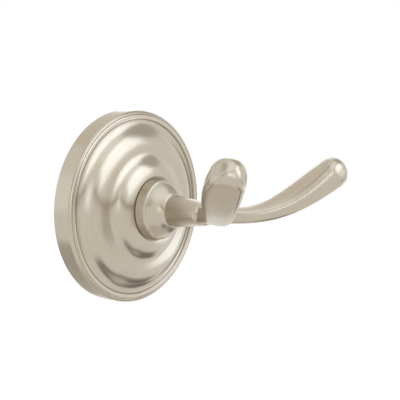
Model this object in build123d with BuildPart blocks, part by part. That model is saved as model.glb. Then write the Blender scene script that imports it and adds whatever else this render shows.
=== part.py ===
from build123d import *
import os
from math import comb, cos, pi, radians, sin, sqrt, tan

# Double robe hook. The wall is the plane y = 0, +Z is up and the hook stands out along -Y.
# The origin is the centre of the escutcheon's back, on the wall. All sizes are in millimetres.
# A distance out from the wall is called a depth here, so a depth of 10 is y = -10.

# Collar, flared face and post. The post starts round and flattens to an oval where the prongs part
collar_radius = 11.2
collar_draft = 8.0
collar_height = 4.0
collar_edge = 0.6
collar_gap = 0.3
flare_length = 5.0
flare_hollow = 0.5
post_base_radius = 5.8
post_step = 0.1
post_sink = 1.0
post_end_width = 13.4
post_end_height = 8.2
post_length = 12.5
post_round_end = 3.6

# Rolled rings on the face of the escutcheon, from the collar's seat outwards. A crown falls away
# gently, rolls over to its steepest place and ends in a cove. Slopes are in degrees
seat_margin = 0.3
inner_crown_width = 3.4
inner_roll_width = 2.35
inner_cove_width = 3.65
outer_crown_width = 4.7
outer_roll_width = 2.55
outer_cove_width = 3.45
seat_slope = 12.0
roll_slope = 22.0
step_slope = 37.0
valley_slope = 7.5

# Bead, edge and side of the rim
bead_width = 1.9
bead_bulge = 0.35
groove_depth = 0.3
edge_width = 1.35
edge_drop = 1.1
rim_depth = 7.5

# Shell of the escutcheon and what is cast inside it
wall = 2.4
seat_wall = 3.4
lug_width = 9.0
lug_stand = 0.8
boss_radius = 3.4
boss_height = 4.5

# Right-hand prong: its path from inside the post to the tip, and its section along that path.
# Widths, thicknesses and turns are spread along the path in the same way as its own places.
# A squareness of 2 is an ellipse and a higher one is closer to a rectangle
prong_root = (0, -30, 0)
prong_pulls = ((2.1, -45.9, 1.1), (13.1, -54.7, -3.9), (24.8, -58.4, 7.5))
prong_tip = (33.3, -72.0, 18.8)
prong_widths = (8.4, 3.0, 8.5, 17.3, 8.8)
prong_thicknesses = (7.6, 3.4, 4.6, 8.1, 10.7)
prong_turns = (-4.0, 23.5, 12.5)
inner_squareness = 2.7
outer_squareness = 3.9
tip_share = 0.09

# Wall bracket: a pressed strip with a turned-out lip at each end
strip_thickness = 1.8
strip_width = 20.0
strip_half_height = 19.0
lip_reach = 4.6
lip_bend = 2.5
wall_screw_spacing = 25.4
wall_screw_hole_radius = 2.4

# Screws, washer and locating pips
post_screw_radius = 2.5
post_screw_grip = 9.0
tapping_spare = 1.5
screw_head_radius = 4.6
screw_head_height = 3.2
screw_head_edge = 1.2
recess_width = 1.2
recess_length = 5.2
recess_depth = 1.9
washer_radius = 4.4
washer_thickness = 1.3
washer_slit = 0.8
pip_radius = 1.2
pip_length = 2.4
pip_offset = 7.0
set_screw_radius = 2.0
set_screw_depth = 3.7
set_screw_inset = 0.8
set_screw_socket = 2.0
set_screw_socket_depth = 2.4
set_screw_point = 0.2

# Clearances between pieces that fit together
hole_clearance = 0.25
thread_clearance = 0.03
lip_clearance = 0.05

# Number of sections along a prong, and round its end and the post's
path_sections = 14
end_sections = 6
section_points = 24
last_share = 0.999
last_turn = 82


def slope_change(width, slope_in, slope_out):
    """How far an arc falls over its width as its slope goes from one value to another."""
    first, last = radians(slope_in), radians(slope_out)
    return width * (cos(first) - cos(last)) / (sin(last) - sin(first))


# Places that follow from the sizes above
ring_widths = (inner_crown_width, inner_roll_width, inner_cove_width)
ring_widths += (outer_crown_width, outer_roll_width, outer_cove_width)
ring_slopes = (seat_slope, roll_slope, step_slope, valley_slope, roll_slope, step_slope, valley_slope)
ring_drops = [slope_change(*values) for values in zip(ring_widths, ring_slopes, ring_slopes[1:])]
seat_radius = collar_radius + seat_margin
ring_radius = seat_radius + sum(ring_widths)
bead_radius = ring_radius + bead_width
rim_radius = bead_radius + edge_width
hollow_radius = rim_radius - wall
groove_foot = rim_depth - groove_depth
side_depth = rim_depth - edge_drop
seat_depth = groove_foot + sum(ring_drops)
flare_start = seat_depth + collar_height
flare_end = flare_start + flare_length
post_end = flare_end + post_length
head_seat = seat_depth - seat_wall - washer_thickness


def ring_arcs(setback):
    """The rolled rings from the seat out to the groove, set back towards the wall."""
    radius, depth = seat_radius, seat_depth - setback
    for width, drop, slope in zip(ring_widths, ring_drops, ring_slopes):
        fall = (cos(radians(slope)), sin(radians(slope)))
        TangentArc((radius, -depth), (radius + width, drop - depth), tangent=fall)
        radius, depth = radius + width, depth - drop


# Escutcheon: a hollow casting
lug_foot = strip_half_height + lip_clearance
boss_top = boss_height - hollow_radius
with BuildPart() as escutcheon:
    with BuildSketch(Plane.XY):
        with BuildLine():
            Polyline(
                (seat_radius, -seat_depth),
                (0, -seat_depth),
                (0, 0),
                (rim_radius, 0),
                (rim_radius, -side_depth),
            )
            ring_arcs(0)
            SagittaArc((ring_radius, -groove_foot), (bead_radius, -rim_depth), -bead_bulge)
            TangentArc((rim_radius, -side_depth), (bead_radius, -rim_depth), tangent=(0, -1))
        make_face()
    revolve(axis=Axis.Y)
    with BuildSketch(Plane.XY):
        with BuildLine():
            Polyline(
                (seat_radius, wall - seat_depth),
                (0, wall - seat_depth),
                (0, 0),
                (hollow_radius, 0),
                (hollow_radius, wall - groove_foot),
                (ring_radius, wall - groove_foot),
            )
            ring_arcs(wall)
        make_face()
    revolve(axis=Axis.Y, mode=Mode.SUBTRACT)
    # pad behind the seat, which the post's screw pulls on
    with BuildSketch(Plane.XZ.offset(seat_depth - wall)):
        Circle(seat_radius)
    extrude(amount=wall - seat_wall)
    # lug at the top of the hollow, which hooks behind the bracket's upper lip
    with BuildSketch(Plane.YZ.offset(-lug_width / 2)):
        with BuildLine():
            Polyline(
                (-lug_stand, lug_foot + lug_stand),
                (-lip_reach, lug_foot + lip_reach),
                (-lip_reach, rim_radius - wall / 2),
                (-lug_stand, rim_radius - wall / 2),
                close=True,
            )
        make_face()
    extrude(amount=lug_width)
    # tapped boss at the bottom of the rim
    with BuildSketch(Plane.XY.offset(boss_top)):
        with Locations((0, -set_screw_depth)):
            Circle(boss_radius)
    extrude(amount=-boss_height - wall / 2)
    with Locations(Plane((0, -set_screw_depth, boss_top), z_dir=(0, 0, 1))):
        Hole(set_screw_radius + thread_clearance, depth=boss_height + 2 * wall)
    with Locations(Plane((0, -seat_depth, 0), z_dir=(0, -1, 0))):
        Hole(post_screw_radius + hole_clearance, depth=2 * seat_wall)
    for height in (-pip_offset, pip_offset):
        with Locations(Plane((0, -seat_depth, height), z_dir=(0, -1, 0))):
            Hole(pip_radius + hole_clearance, depth=2 * seat_wall)
escutcheon.part.label = "escutcheon"


def spread(values, share):
    """A size at this share of the way along the prong."""
    last = len(values) - 1
    return sum(comb(last, i) * share**i * (1 - share) ** (last - i) * values[i] for i in range(last + 1))


def prong_shares():
    """The places of the sections, closer together round the tip."""
    before = [(1 - tip_share) * i / path_sections for i in range(path_sections)]
    round_tip = [1 - tip_share * (1 - sin(pi / 2 * i / end_sections)) for i in range(end_sections)]
    return before + round_tip + [last_share]


def prong_plane(share):
    """The plane across the prong: its x runs across, its y points down and out of the V."""
    way = prong_path % share
    across = way.cross(Vector(0, 0, 1)).rotate(Axis((0, 0, 0), way), spread(prong_turns, share))
    return Plane(prong_path @ share, x_dir=across, z_dir=way)


def rounded_outline(half_width, half_height, lower_power=2, upper_power=2):
    """Points round an oval, or round a rounded square where the power is above 2."""
    points = []
    for i in range(section_points):
        turn = 2 * pi * i / section_points
        x, y = cos(turn), sin(turn)
        power = upper_power if y > 0 else lower_power
        push = (abs(x) ** power + abs(y) ** power) ** (-1 / power)
        points.append((half_width * push * x, half_height * push * y))
    return points


def prong_outline(share):
    """A section of the prong, which shrinks to nothing over the tip."""
    end = max(0, 1 - (1 - share) / tip_share)
    shrink = sqrt(1 - end**2) / 2
    half_width, half_height = shrink * spread(prong_widths, share), shrink * spread(prong_thicknesses, share)
    return rounded_outline(half_width, half_height, inner_squareness, outer_squareness)


def round_end():
    """Depth, half width and half height of the sections of the post's rounded end."""
    ovals = []
    for i in range(end_sections + 1):
        turn = radians(last_turn) * i / end_sections
        depth = post_end + post_round_end * sin(turn)
        ovals.append((depth, cos(turn) * post_end_width / 2, cos(turn) * post_end_height / 2))
    return ovals


# Hook: collar, flared face, post and both prongs, one casting
prong_path = Bezier(prong_root, *prong_pulls, prong_tip)
draft = (-sin(radians(collar_draft)), -cos(radians(collar_draft)))
crown_radius = collar_radius - (collar_height - collar_edge) * tan(radians(collar_draft))
lip_radius = crown_radius - collar_edge
foot_radius = post_base_radius + post_step
post_root = (flare_end - post_sink, post_base_radius, post_base_radius)
with BuildPart() as hook_post:
    with BuildSketch(Plane.XY):
        with BuildLine():
            Polyline(
                (foot_radius, -flare_end),
                (0, -flare_end),
                (0, -seat_depth),
                (collar_radius - collar_gap, -seat_depth),
                (collar_radius, -seat_depth - collar_gap),
                (crown_radius, collar_edge - flare_start),
            )
            TangentArc((crown_radius, collar_edge - flare_start), (lip_radius, -flare_start), tangent=draft)
            SagittaArc((lip_radius, -flare_start), (foot_radius, -flare_end), flare_hollow)
        make_face()
    revolve(axis=Axis.Y)
    for ovals in ((post_root, round_end()[0]), round_end()):
        for depth, half_width, half_height in ovals:
            with BuildSketch(Plane.XZ.offset(depth)):
                with BuildLine():
                    Spline(rounded_outline(half_width, half_height), periodic=True)
                make_face()
        loft()
    for share in prong_shares():
        with BuildSketch(prong_plane(share)):
            with BuildLine():
                Spline(prong_outline(share), periodic=True)
            make_face()
    prong = loft()
    mirror(prong, about=Plane.YZ)
    # pips on the back of the collar, which keep the hook from turning
    with BuildSketch(Plane.XZ.offset(seat_depth)):
        with Locations((0, -pip_offset), (0, pip_offset)):
            Circle(pip_radius)
    extrude(amount=-pip_length)
    with Locations(Plane((0, -seat_depth, 0), z_dir=(0, -1, 0))):
        Hole(post_screw_radius + thread_clearance, depth=post_screw_grip + tapping_spare)
hook_post.part.label = "hook_post"

# Machine screw that draws the hook onto the escutcheon
with BuildPart() as post_screw:
    with BuildSketch(Plane.XZ.offset(head_seat)):
        Circle(screw_head_radius)
    extrude(amount=-screw_head_height)
    fillet(post_screw.edges().sort_by(Axis.Y)[-1], radius=screw_head_edge)
    with BuildSketch(Plane.XZ.offset(head_seat)):
        Circle(post_screw_radius)
    extrude(amount=washer_thickness + seat_wall + post_screw_grip)
    with BuildSketch(Plane.XZ.offset(head_seat - screw_head_height)):
        Rectangle(recess_width, recess_length)
        Rectangle(recess_length, recess_width)
    extrude(amount=recess_depth, mode=Mode.SUBTRACT)
post_screw.part.label = "post_screw"

# Split spring washer under its head
with BuildPart() as lock_washer:
    with BuildSketch(Plane.XZ.offset(head_seat)):
        Circle(washer_radius)
        Circle(post_screw_radius + hole_clearance, mode=Mode.SUBTRACT)
        with Locations((0, washer_radius)):
            Rectangle(washer_slit, 2 * (washer_radius - post_screw_radius), mode=Mode.SUBTRACT)
    extrude(amount=washer_thickness)
lock_washer.part.label = "lock_washer"

# Bracket that is screwed to the wall
with BuildPart() as wall_bracket:
    with BuildSketch(Plane.YZ.offset(-strip_width / 2)):
        with BuildLine() as strip_line:
            Polyline(
                (-lip_reach, -strip_half_height - lip_reach),
                (0, -strip_half_height),
                (0, strip_half_height),
                (-lip_reach, strip_half_height + lip_reach),
            )
            fillet(strip_line.vertices().group_by(Axis.Y)[-1], radius=lip_bend)
            offset(amount=strip_thickness, side=Side.LEFT)
        make_face()
    extrude(amount=strip_width)
    for height in (-wall_screw_spacing / 2, wall_screw_spacing / 2):
        with Locations(Plane((0, 0, height), z_dir=(0, -1, 0))):
            Hole(wall_screw_hole_radius, depth=2 * strip_thickness)
wall_bracket.part.label = "wall_bracket"

# Grub screw in the bottom of the rim, whose cone bears on the bracket's lower lip
set_screw_foot = set_screw_inset - rim_radius
set_screw_tip = -strip_half_height - set_screw_depth - set_screw_point - 2 * lip_clearance
with BuildPart() as set_screw:
    with BuildSketch(Plane.XY.offset(set_screw_foot)):
        with Locations((0, -set_screw_depth)):
            Circle(set_screw_radius)
    extrude(amount=set_screw_tip - set_screw_foot)
    chamfer(set_screw.edges().sort_by(Axis.Z)[-1], length=set_screw_radius - set_screw_point)
    with BuildSketch(Plane.XY.offset(set_screw_foot)):
        with Locations((0, -set_screw_depth)):
            RegularPolygon(set_screw_socket / 2, 6, major_radius=False)
    extrude(amount=set_screw_socket_depth, mode=Mode.SUBTRACT)
set_screw.part.label = "set_screw"

os.makedirs("parts", exist_ok=True)
for piece in (escutcheon, hook_post, post_screw, lock_washer, wall_bracket, set_screw):
    export_step(piece.part, f"parts/{piece.part.label}.step")
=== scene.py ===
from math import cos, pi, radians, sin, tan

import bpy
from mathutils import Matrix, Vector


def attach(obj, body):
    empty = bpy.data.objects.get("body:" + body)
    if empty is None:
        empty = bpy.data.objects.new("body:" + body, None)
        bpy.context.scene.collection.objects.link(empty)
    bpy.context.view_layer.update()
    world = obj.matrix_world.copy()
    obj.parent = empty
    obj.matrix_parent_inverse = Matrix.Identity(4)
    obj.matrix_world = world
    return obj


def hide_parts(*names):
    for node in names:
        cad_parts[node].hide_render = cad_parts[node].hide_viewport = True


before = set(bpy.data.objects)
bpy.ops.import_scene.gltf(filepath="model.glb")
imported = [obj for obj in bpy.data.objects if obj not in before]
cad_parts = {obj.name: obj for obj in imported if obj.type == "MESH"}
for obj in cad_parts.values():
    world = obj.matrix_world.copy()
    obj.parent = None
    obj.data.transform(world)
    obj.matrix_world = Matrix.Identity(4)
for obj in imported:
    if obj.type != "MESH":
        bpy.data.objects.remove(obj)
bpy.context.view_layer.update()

# %% [markdown]
# # A satin nickel double robe hook
# The hook is a small zinc casting on a round stepped escutcheon, plated with nickel and polished to a
# satin sheen. The solids come in as a fixed frame, in metres, with the wall in the plane y = 0 and the
# hook standing out along -Y. Everything below only adds looks: finer surfaces, small details, materials,
# light and a camera.

for name, part in sorted(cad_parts.items()):
    print(name, len(part.data.vertices), "points", len(part.data.polygons), "faces")

# %% [markdown]
# ## Camera
# The photograph was taken from the left of the hook and a little above it, from about a third of a metre,
# with a lens that sees about 27 degrees. A camera is easiest to place by the way it looks: two turns and a
# small roll give its right, up and back directions, and these are the columns of its matrix.

# %% Camera
VIEW_TURN, VIEW_RISE, VIEW_ROLL = radians(-52.7), radians(4.7), radians(2.25)
VIEW_DISTANCE = 0.3467
VIEW_AIM = Vector((0.04587, 0, 0))
PICTURE_WIDTH, LENS_PIXELS = 400, 841.0


def place_camera():
    back = Vector((sin(VIEW_TURN) * cos(VIEW_RISE), -cos(VIEW_TURN) * cos(VIEW_RISE), sin(VIEW_RISE)))
    level = Vector((cos(VIEW_TURN), sin(VIEW_TURN), 0))
    upright = back.cross(level)
    right = level * cos(VIEW_ROLL) + upright * sin(VIEW_ROLL)
    up = upright * cos(VIEW_ROLL) - level * sin(VIEW_ROLL)
    eye = VIEW_AIM + back * VIEW_DISTANCE
    lens = bpy.data.cameras.new("camera")
    lens.sensor_width = 36
    lens.lens = 36 * LENS_PIXELS / PICTURE_WIDTH
    lens.clip_start = 0.01
    camera = bpy.data.objects.new("camera", lens)
    bpy.context.collection.objects.link(camera)
    camera.matrix_world = Matrix.Translation(eye) @ Matrix((right, up, back)).transposed().to_4x4()
    bpy.context.scene.camera = camera
    return camera


camera = place_camera()
print("camera at", [round(v, 4) for v in camera.matrix_world.translation])

# %% [markdown]
# ## Writing materials as sums
# A material is a graph of nodes, but the sums in it read better as sums. This small class wraps a socket,
# so that an expression such as 1 - mask * 0.3 adds its own Math nodes. Every other node comes from one
# method, which takes the node's type, then its settings, then the values or links of its sockets.

# %% Shader sums
class Signal:
    def __init__(self, sheet, socket):
        self.sheet, self.socket = sheet, socket

    def sum(self, operation, *others):
        return self.sheet.number(operation, self, *others)

    def __add__(self, other):
        return self.sum("ADD", other)

    def __radd__(self, other):
        return self.sheet.number("ADD", other, self)

    def __sub__(self, other):
        return self.sum("SUBTRACT", other)

    def __rsub__(self, other):
        return self.sheet.number("SUBTRACT", other, self)

    def __mul__(self, other):
        return self.sum("MULTIPLY", other)

    def __rmul__(self, other):
        return self.sheet.number("MULTIPLY", other, self)

    def __truediv__(self, other):
        return self.sum("DIVIDE", other)

    def __pow__(self, other):
        return self.sum("POWER", other)


class Sheet:
    """The nodes of one material, of the world or of a shape, and the ways of adding to them."""

    def __init__(self, owner):
        if hasattr(owner, "use_nodes"):
            owner.use_nodes = True
        tree = getattr(owner, "node_tree", owner)
        self.owner, self.nodes, self.links = owner, tree.nodes, tree.links
        self.nodes.clear()

    def node(self, kind, settings=None, inputs=None, out=0):
        made = self.nodes.new(kind)
        for name, value in (settings or {}).items():
            setattr(made, name, value)
        for name, value in (inputs or {}).items():
            if isinstance(value, Signal):
                self.links.new(value.socket, made.inputs[name])
            else:
                made.inputs[name].default_value = value
        return Signal(self, made.outputs[out])

    def number(self, operation, *values):
        return self.node("ShaderNodeMath", {"operation": operation}, dict(enumerate(values)))

    def split(self, vector):
        parts = self.nodes.new("ShaderNodeSeparateXYZ")
        self.links.new(vector.socket, parts.inputs[0])
        return [Signal(self, socket) for socket in parts.outputs]

    def join(self, x, y, z):
        return self.node("ShaderNodeCombineXYZ", None, {0: x, 1: y, 2: z})

    def mix(self, mask, first, second):
        return self.node("ShaderNodeMix", {"data_type": "RGBA"}, {0: mask, 6: first, 7: second}, out=2)

    def smooth_step(self, value, low, high):
        inputs = {"Value": value, "From Min": low, "From Max": high}
        return self.node("ShaderNodeMapRange", {"interpolation_type": "SMOOTHSTEP"}, inputs)

    def noise(self, vector, scale, detail=2.0, roughness=0.5):
        inputs = {"Vector": vector, "Scale": scale, "Detail": detail, "Roughness": roughness}
        return self.node("ShaderNodeTexNoise", None, inputs)

    def finish(self, shader, end="ShaderNodeOutputMaterial"):
        self.links.new(shader.socket, self.nodes.new(end).inputs["Surface"])
        return self.owner


print("shader sums ready")

# %% [markdown]
# ## Satin nickel
# Nickel plate is a warm grey metal. Satin means that the polish was stopped early, so a reflection is
# soft at its edges and very fine rub lines are left. The escutcheon was polished while it span, so its
# lines run round it, and the hook was rubbed along its prongs by hand. The roughness also drifts slowly,
# as it does where a cloth has been. The grooves and the gap at the collar are rougher, and their colour is
# darkened as painted shade; a thin ring on the bead is lightened as a painted highlight. The hollow behind
# was never polished: it is the skin of the casting, grey, rough and finely pitted. All of this follows from
# where a point is and which way it faces.

# %% Satin nickel
NICKEL = (0.585, 0.522, 0.420, 1)
NICKEL_DEEP = (0.435, 0.384, 0.298, 1)
# a lighter colour painted on a thin ring of the bead as a painted highlight
NICKEL_BEAD_HIGHLIGHT = (0.640, 0.575, 0.480, 1)
# a dark colour painted into the grooves and the collar gap as painted shade
NICKEL_GROOVE_SHADE = (0.200, 0.168, 0.125, 1)
CAST_SKIN = (0.36, 0.345, 0.32, 1)
# where the painted highlight sits on the bead, how far it reaches and how strong it is
BEAD_RADIUS, BEAD_HIGHLIGHT_REACH, BEAD_HIGHLIGHT_SHARE = 0.0326, 0.0007, 0.8
# each groove by its radius, how far its painted shade and roughness reach, and how strong they are: at the
# collar, inside the bead and outside it
SHADED_GROOVES = ((0.0115, 0.0005, 0.60), (0.03175, 0.00045, 0.65), (0.03365, 0.0003, 0.55))
# how strongly the rub lines tint the plate, how rough it is at its smoothest, and how deep the lines cut
TURNED_FINISH = (0.35, 0.14, 0.14)
RUBBED_FINISH = (0.30, 0.18, 0.06)
TURNED_LINES, TURNED_LINES_ROUND = 7000, 5
RUBBED_LINES, RUBBED_LINES_ALONG = 5200, 300
LINE_DEPTH = 0.00002
DRIFT_SCALE, SMUDGE_SCALE, PIT_SCALE = 90.0, 45.0, 2600.0
PIT_HEIGHT = 4.0
PRONG_WAY = (0.70, -0.59, 0.40)


def near(sheet, value, place, reach):
    """1 where the value is at a place, falling to 0 at some reach from it."""
    return 1 - sheet.smooth_step(sheet.number("ABSOLUTE", value - place), 0.0, reach)


def turned_lines(sheet, x, y, z):
    """Fine lines round the axis, as a cloth leaves them on a spinning face."""
    radius = (x * x + z * z) ** 0.5
    turn = sheet.number("ARCTAN2", z, x)
    place = sheet.join(radius * TURNED_LINES, y * TURNED_LINES, turn * TURNED_LINES_ROUND)
    return sheet.noise(place, 1.0, 3.0, 0.65)


def rubbed_lines(sheet, x, y, z):
    """Fine lines along the prongs, the same on both sides."""
    side = sheet.number("ABSOLUTE", x)
    along = side * PRONG_WAY[0] + y * PRONG_WAY[1] + z * PRONG_WAY[2]
    across = side * PRONG_WAY[1] - y * PRONG_WAY[0]
    lift = z - along * PRONG_WAY[2]
    place = sheet.join(across * RUBBED_LINES, lift * RUBBED_LINES, along * RUBBED_LINES_ALONG)
    return sheet.noise(place, 1.0, 3.0, 0.6)


def hollow_side(sheet, x, z, radius):
    """1 on what faces the wall or the axis, which is the inside of the escutcheon."""
    nx, ny, nz = sheet.split(sheet.node("ShaderNodeNewGeometry", out="True Normal"))
    outwards = (nx * x + nz * z) / radius
    return sheet.smooth_step(ny - outwards * 0.5, -0.3, -0.1)


def metal(sheet, colour, roughness, height, strength, depth):
    """A bare metal with a fine relief."""
    bump = sheet.node("ShaderNodeBump", None, {"Strength": strength, "Distance": depth, "Height": height})
    surface = {"Base Color": colour, "Metallic": 1.0, "Roughness": roughness, "Normal": bump}
    return sheet.finish(sheet.node("ShaderNodeBsdfPrincipled", None, surface))


def satin_nickel(name, turned):
    sheet = Sheet(bpy.data.materials.new(name))
    place = sheet.node("ShaderNodeTexCoord", None, None, out="Object")
    x, y, z = sheet.split(place)
    tint, smoothest, cut = TURNED_FINISH if turned else RUBBED_FINISH
    lines = turned_lines(sheet, x, y, z) if turned else rubbed_lines(sheet, x, y, z)
    drift = sheet.noise(place, DRIFT_SCALE, 3.0, 0.55)
    smudge = sheet.smooth_step(sheet.noise(place, SMUDGE_SCALE, 4.0, 0.6), 0.45, 0.75)
    colour = sheet.mix(drift * 0.35, NICKEL, NICKEL_DEEP)
    colour = sheet.mix(sheet.smooth_step(lines, 0.30, 0.62) * tint, colour, NICKEL_DEEP)
    roughness = smoothest + drift * 0.07 + lines * 0.08 + smudge * 0.03
    if turned:
        radius = (x * x + z * z) ** 0.5
        # painted highlight: a thin ring on the bead is mixed towards a lighter colour
        colour = sheet.mix(near(sheet, radius, BEAD_RADIUS, BEAD_HIGHLIGHT_REACH) * BEAD_HIGHLIGHT_SHARE, colour, NICKEL_BEAD_HIGHLIGHT)
        # painted shade: the grooves and the collar gap are mixed towards a dark colour, and are also made
        # rougher
        rough_shaded = [near(sheet, radius, groove, reach) * share for groove, reach, share in SHADED_GROOVES]
        groove_rough_shade = rough_shaded[0] + rough_shaded[1] + rough_shaded[2]
        colour = sheet.mix(groove_rough_shade, colour, NICKEL_GROOVE_SHADE)
        inside = hollow_side(sheet, x, z, radius)
        pits = sheet.noise(place, PIT_SCALE, 3.0, 0.6)
        colour = sheet.mix(inside * (1.0 - pits * 0.35), colour, CAST_SKIN)
        roughness = roughness + groove_rough_shade * 0.15 + inside * (0.18 + pits * 0.2)
        lines = lines * (1 - inside) + pits * inside * PIT_HEIGHT
    return metal(sheet, colour, roughness, lines, cut, LINE_DEPTH)


def finish_node(node, material):
    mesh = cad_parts[node].data
    mesh.materials.clear()
    mesh.materials.append(material)


turned_nickel = satin_nickel("satin_nickel_turned", True)
rubbed_nickel = satin_nickel("satin_nickel_rubbed", False)
finish_node("escutcheon", turned_nickel)
finish_node("hook_post", rubbed_nickel)
# the grooves counted here are painted darker as painted shade, and are rougher
print("nickel on", len(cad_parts["escutcheon"].data.polygons), "and", end=" ")
print(len(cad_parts["hook_post"].data.polygons), "faces,", len(SHADED_GROOVES), "dull grooves")

# %% [markdown]
# ## Bright zinc plate
# The bracket and the screws are steel with a thin bright zinc plate. It is cooler and duller than nickel,
# with a cloudy pattern from the bath and long scuffs from the roll and the tumbling drum.

# %% Bright zinc plate
ZINC = (0.41, 0.44, 0.49, 1)
ZINC_WARM = (0.60, 0.575, 0.51, 1)
ZINC_SCUFF = (0.70, 0.71, 0.72, 1)
CLOUD_SCALE, GRAIN_SCALE = 170.0, 2500.0
SCUFF_LINES, SCUFF_LINES_ALONG = 1500, 90
PLATE_RELIEF, PLATE_RELIEF_DEPTH = 0.2, 0.00003


def zinc_plate(name):
    sheet = Sheet(bpy.data.materials.new(name))
    place = sheet.node("ShaderNodeTexCoord", None, None, out="Object")
    x, y, z = sheet.split(place)
    cloud = sheet.smooth_step(sheet.noise(place, CLOUD_SCALE, 5.0, 0.62), 0.35, 0.68)
    grain = sheet.noise(place, GRAIN_SCALE, 2.0, 0.5)
    along_strip = sheet.join(x * SCUFF_LINES, y * SCUFF_LINES, z * SCUFF_LINES_ALONG)
    scuffs = sheet.smooth_step(sheet.noise(along_strip, 1.0, 3.0, 0.6), 0.58, 0.70)
    colour = sheet.mix(cloud * 0.8, ZINC, ZINC_WARM)
    colour = sheet.mix(scuffs * 0.5, colour, ZINC_SCUFF)
    roughness = 0.24 + cloud * 0.16 + grain * 0.06 - scuffs * 0.06
    return metal(sheet, colour, roughness, grain - scuffs * 0.5, PLATE_RELIEF, PLATE_RELIEF_DEPTH)


plated_steel = zinc_plate("bright_zinc")
STEEL_NODES = ("post_screw", "lock_washer", "wall_bracket", "set_screw")
for node in STEEL_NODES:
    finish_node(node, plated_steel)
print("zinc on", ", ".join(STEEL_NODES))

# %% [markdown]
# ## Grub screw
# The small screw under the rim is an M4 grub screw: a hexagon socket at its foot, a thread all the way
# and a cone that wedges the escutcheon down on its bracket. One rule gives the whole screw. A sheet of
# points is rolled round an axis, and each row of it is one step of a path that starts in the middle of
# the socket and ends at the point. On the way the radius rises and falls once for each pitch, a little
# later at each turn, and that is a thread. The rule is a tree of geometry nodes with named sizes, so that
# another screw only needs other numbers.

# %% Grub screw
SCREW_SIZES = {
    "Crest Radius": 0.0020,
    "Root Radius": 0.00165,
    "Pitch": 0.0007,
    "Length": 0.01105,
    "Cone Length": 0.0018,
    "Point Radius": 0.0002,
    "Socket Half Width": 0.0010,
    "Socket Depth": 0.0024,
    "Offset": -0.0037,
    "Foot": -0.03405,
}
# points round the screw and along its path, and where each step of the path ends: the socket's floor,
# its wall, the end face, the thread, the cone and the blunt point
SCREW_ROUND, SCREW_ROWS = 73, 251
STEP_ENDS = (0.06, 0.12, 0.16, 0.92, 0.98, 1.0)
SEAM_REACH = 0.0000005
# whole turns that are added so that a share of a turn is never taken of a number below 0
SPARE_TURNS = 50.0


def screw_rule(name):
    """The tree of geometry nodes, and the name that its modifier has for each size."""
    group = bpy.data.node_groups.new(name, "GeometryNodeTree")
    made = group.interface.new_socket("Mesh", in_out="OUTPUT", socket_type="NodeSocketGeometry")
    kinds = {label: "NodeSocketFloat" for label in SCREW_SIZES}
    kinds["Material"] = "NodeSocketMaterial"
    keys = {}
    for label, kind in kinds.items():
        keys[label] = group.interface.new_socket(label, in_out="INPUT", socket_type=kind).identifier
    sheet = Sheet(group)
    given = sheet.nodes.new("NodeGroupInput")
    size = {label: Signal(sheet, given.outputs[label]) for label in keys}
    counts = {"Size X": 1.0, "Size Y": 1.0, "Vertices X": SCREW_ROUND, "Vertices Y": SCREW_ROWS}
    grid = sheet.node("GeometryNodeMeshGrid", None, counts)
    across, along, _ = sheet.split(sheet.node("GeometryNodeInputPosition"))
    turn, path = (across + 0.5) * (2 * pi), along + 0.5

    def step(first, last):
        return sheet.node("ShaderNodeMapRange", None, {"Value": path, "From Min": first, "From Max": last})

    out, down, face, up, cone, close = (step(*ends) for ends in zip((0.0,) + STEP_ENDS, STEP_ENDS))
    threaded = size["Length"] - size["Cone Length"]
    height = up * threaded
    phase = sheet.number("FRACT", height / size["Pitch"] - turn * (0.5 / pi) + SPARE_TURNS)
    tooth = 1 - sheet.number("ABSOLUTE", phase * 2.0 - 1.0)
    start = sheet.number("MINIMUM", height / size["Pitch"], 1.0)
    fade = start * sheet.number("MINIMUM", (threaded - height) / size["Pitch"], 1.0)
    body = size["Crest Radius"] - (size["Crest Radius"] - size["Root Radius"]) * (1 - tooth * fade)
    from_corner = sheet.number("MODULO", turn, pi / 3)
    hexagon = size["Socket Half Width"] / sheet.number("COSINE", from_corner - pi / 6)
    radius = hexagon * out + (body - hexagon) * face - (body - size["Point Radius"]) * cone
    radius = radius - size["Point Radius"] * close
    rise = size["Socket Depth"] * (1 - down) + height + size["Cone Length"] * cone + size["Foot"]
    x = radius * sheet.number("COSINE", turn)
    y = radius * sheet.number("SINE", turn) + size["Offset"]
    place = sheet.join(x, y, rise)
    rolled = sheet.node("GeometryNodeSetPosition", None, {"Geometry": grid, "Position": place})
    closed = sheet.node("GeometryNodeMergeByDistance", None, {"Geometry": rolled, "Distance": SEAM_REACH})
    plain = sheet.node("GeometryNodeRealizeInstances", None, {"Geometry": closed})
    painted = sheet.node("GeometryNodeSetMaterial", None, {"Geometry": plain, "Material": size["Material"]})
    sheet.links.new(painted.socket, sheet.nodes.new("NodeGroupOutput").inputs[made.identifier])
    return group, keys


def screw_piece(name, material):
    """A plain mesh made by the rule."""
    group, keys = screw_rule(name + "_rule")
    draft = bpy.data.objects.new(name + "_draft", bpy.data.meshes.new(name + "_draft"))
    bpy.context.collection.objects.link(draft)
    rule = draft.modifiers.new("rule", "NODES")
    rule.node_group = group
    for label, value in {**SCREW_SIZES, "Material": material}.items():
        rule[keys[label]] = value
    ready = draft.evaluated_get(bpy.context.evaluated_depsgraph_get())
    mesh = bpy.data.meshes.new_from_object(ready)
    bpy.data.objects.remove(draft)
    piece = bpy.data.objects.new(name, mesh)
    bpy.context.collection.objects.link(piece)
    return piece


grub_screw = screw_piece("grub_screw", plated_steel)
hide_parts("set_screw")
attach(grub_screw, "root")
length = 1000 * max(point.co.z for point in grub_screw.data.vertices) - 1000 * SCREW_SIZES["Foot"]
print("grub screw", len(grub_screw.data.polygons), "faces,", round(length, 2), "mm long")

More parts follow.
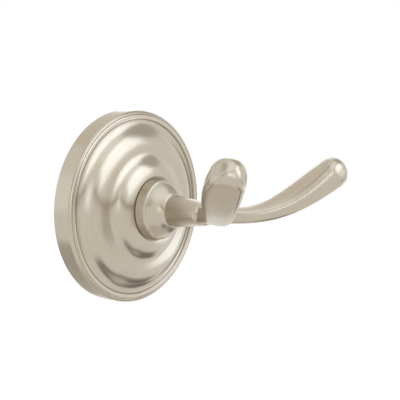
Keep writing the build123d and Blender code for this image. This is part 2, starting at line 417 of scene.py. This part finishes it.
# %% [markdown]
# ## Floor and light
# A polished metal shows its room, so the room is most of its look. Here it is white all round, with a
# large soft lamp in front, a fainter one above and a small one low on the right. Grey cards stand where
# the metal should show a darker shade. A lamp adds its light to the white behind it, and a card hides it.
# Everything is placed by two angles seen from the hook, which is how a photographer would say it.

# %% Floor and light
FLOOR_DEPTH, FLOOR_HALF, FLOOR_GLOW_SHARE = -0.25, 3, 0.93
FLOOR_WHITE, FLOOR_GLOW = 0.9, 1.03
ROOM_GLOW_ON_MATT = 0.7
LAMP_TINT = (0.84, 0.97, 1.18)
CARD_TINT = (1.0, 0.96, 0.90)
CARD_STEPS = 12
LAMP_DISTANCE, LOW_LAMP_DISTANCE = 0.6, 0.42
CARD_DISTANCE, LOW_CARD_DISTANCE, FLOOR_CARD_DISTANCE = 0.55, 0.27, 0.24


def seen_in_metal(sheet):
    """1 for a ray from the camera, from metal or through glass, and 0 for light on a matt surface."""
    kinds = [sheet.node("ShaderNodeLightPath", out=place) for place in ("Is Camera Ray", "Is Glossy Ray")]
    kinds.append(sheet.node("ShaderNodeLightPath", out="Is Transmission Ray"))
    return sheet.number("MAXIMUM", sheet.number("MAXIMUM", kinds[0], kinds[1]), kinds[2])


def room_light():
    world = bpy.data.worlds.new("room")
    sheet = Sheet(world)
    seen = seen_in_metal(sheet)
    strength = seen * (1 - ROOM_GLOW_ON_MATT) + ROOM_GLOW_ON_MATT
    glow = sheet.node("ShaderNodeBackground", None, {"Color": (1, 1, 1, 1), "Strength": strength})
    sheet.finish(glow, "ShaderNodeOutputWorld")
    bpy.context.scene.world = world


def direction(turn, rise):
    """The way from the hook towards a lamp: turn 0 is straight out of the wall, 90 is to the right."""
    turn, rise = radians(turn), radians(rise)
    return Vector((sin(turn) * cos(rise), -cos(turn) * cos(rise), sin(rise)))


def facing(turn, rise, roll):
    """The ways along the width of a panel that faces the hook, along its height, and away from the hook."""
    away = direction(turn, rise)
    level = Vector((cos(radians(turn)), sin(radians(turn)), 0))
    upright = away.cross(level)
    roll = radians(roll)
    return level * cos(roll) + upright * sin(roll), upright * cos(roll) - level * sin(roll), away


def soft_lamp(name, turn, rise, roll, wide, high, glow, distance=LAMP_DISTANCE, tint=LAMP_TINT):
    """A soft box that adds glow times the white of the room, wide and high degrees across."""
    width, height = (2 * distance * tan(radians(size / 2)) for size in (wide, high))
    lamp = bpy.data.lights.new(name, "AREA")
    lamp.shape = "RECTANGLE"
    lamp.size, lamp.size_y = width, height
    lamp.energy = glow * pi * width * height
    lamp.color = tint
    box = bpy.data.objects.new(name, lamp)
    bpy.context.collection.objects.link(box)
    axes = facing(turn, rise, roll)
    box.matrix_world = Matrix.Translation(axes[2] * distance) @ Matrix(axes).transposed().to_4x4()
    box.visible_camera = False
    return box


def card(name, turn, rise, roll, wide, high, shade, distance=CARD_DISTANCE, tint=CARD_TINT):
    """A grey card that only shows in the metal, bent round the hook at one distance."""
    along, across, away = facing(turn, rise, roll)
    corners, faces = [], []
    for step in range(CARD_STEPS + 1):
        swing = radians(wide) * (step / CARD_STEPS - 0.5)
        for lift in (-radians(high) / 2, radians(high) / 2):
            corners.append((away + along * tan(swing) + across * tan(lift)).normalized() * distance)
    for first in range(0, 2 * CARD_STEPS, 2):
        faces.append((first, first + 1, first + 3, first + 2))
    mesh = bpy.data.meshes.new(name)
    mesh.from_pydata(corners, [], faces)
    sheet = Sheet(bpy.data.materials.new(name))
    colour = [shade * part for part in tint] + [1]
    mesh.materials.append(sheet.finish(sheet.node("ShaderNodeEmission", None, {"Color": colour})))
    panel = bpy.data.objects.new(name, mesh)
    bpy.context.collection.objects.link(panel)
    panel.visible_camera = panel.visible_shadow = panel.visible_diffuse = False
    return panel


def floor():
    """A pale matt floor, which keeps the shadow but looks white to the camera and in the metal."""
    mesh = bpy.data.meshes.new("floor")
    sides = ((-1, -1), (1, -1), (1, 1), (-1, 1))
    corners = [(x * FLOOR_HALF, y * FLOOR_HALF, FLOOR_DEPTH) for x, y in sides]
    mesh.from_pydata(corners, [], [(0, 1, 2, 3)])
    sheet = Sheet(bpy.data.materials.new("pale_floor"))
    matt = sheet.node("ShaderNodeBsdfDiffuse", None, {"Color": (FLOOR_WHITE, FLOOR_WHITE, FLOOR_WHITE, 1)})
    glow = sheet.node("ShaderNodeEmission", None, {"Color": (1, 1, 1, 1), "Strength": FLOOR_GLOW})
    share = seen_in_metal(sheet) * FLOOR_GLOW_SHARE
    both = sheet.node("ShaderNodeMixShader", None, {0: share, 1: matt, 2: glow})
    mesh.materials.append(sheet.finish(both))
    ground = bpy.data.objects.new("floor", mesh)
    bpy.context.collection.objects.link(ground)


# each panel by its turn, rise, roll, width and height in degrees, then by the light that a lamp adds or by
# the shade of a card. What shines or hangs below the hook is nearer, so that it is above the floor
room_light()
floor()
soft_lamp("front_lamp", 22, 27, 25, 45, 26, 1.15)
soft_lamp("top_lamp", -17, 60, 0, 61, 51, 0.28)
soft_lamp("low_lamp", 69, -18, 8, 26, 13, 0.95, distance=LOW_LAMP_DISTANCE)
soft_lamp("strip_lamp", -25, 8, 0, 12, 24, 0.45)
soft_lamp("small_lamp", -32, 7, 0, 9, 13, 1.3)
soft_lamp("left_lamp", -128, 10, 0, 24, 30, 0.2)
soft_lamp("right_lamp", 125, 16, 0, 20, 31, 0.5)
card("low_front_card", 25, -56, -5, 46, 11, 0.26, distance=LOW_CARD_DISTANCE)
card("low_right_card", 64, -49, 22, 41, 12, 0.26, distance=LOW_CARD_DISTANCE)
card("right_card", 71, 45, 10, 46, 32, 0.63)
card("front_card", 23, -10, 0, 16, 16, 0.68)
card("back_card", -175, -47, 0, 66, 24, 0.6, distance=LOW_CARD_DISTANCE)
card("floor_card", 0, -90, 0, 60, 60, 0.8, distance=FLOOR_CARD_DISTANCE)
card("back_top_card", 163, 46, 0, 50, 36, 0.9)
card("back_right_card", 146, -30, 0, 26, 18, 0.75)
card("high_left_card", -108, 60, 0, 30, 22, 0.72)
card("left_card", -72, 24, 0, 20, 26, 0.74)
print("floor at", FLOOR_DEPTH, "with", len(bpy.data.lights), "lamps")

# %% [markdown]
# ## Finish
# The last step sets the plain Standard view, which shows each colour about as it was written.

# %% Finish
bpy.context.scene.view_settings.view_transform = "Standard"
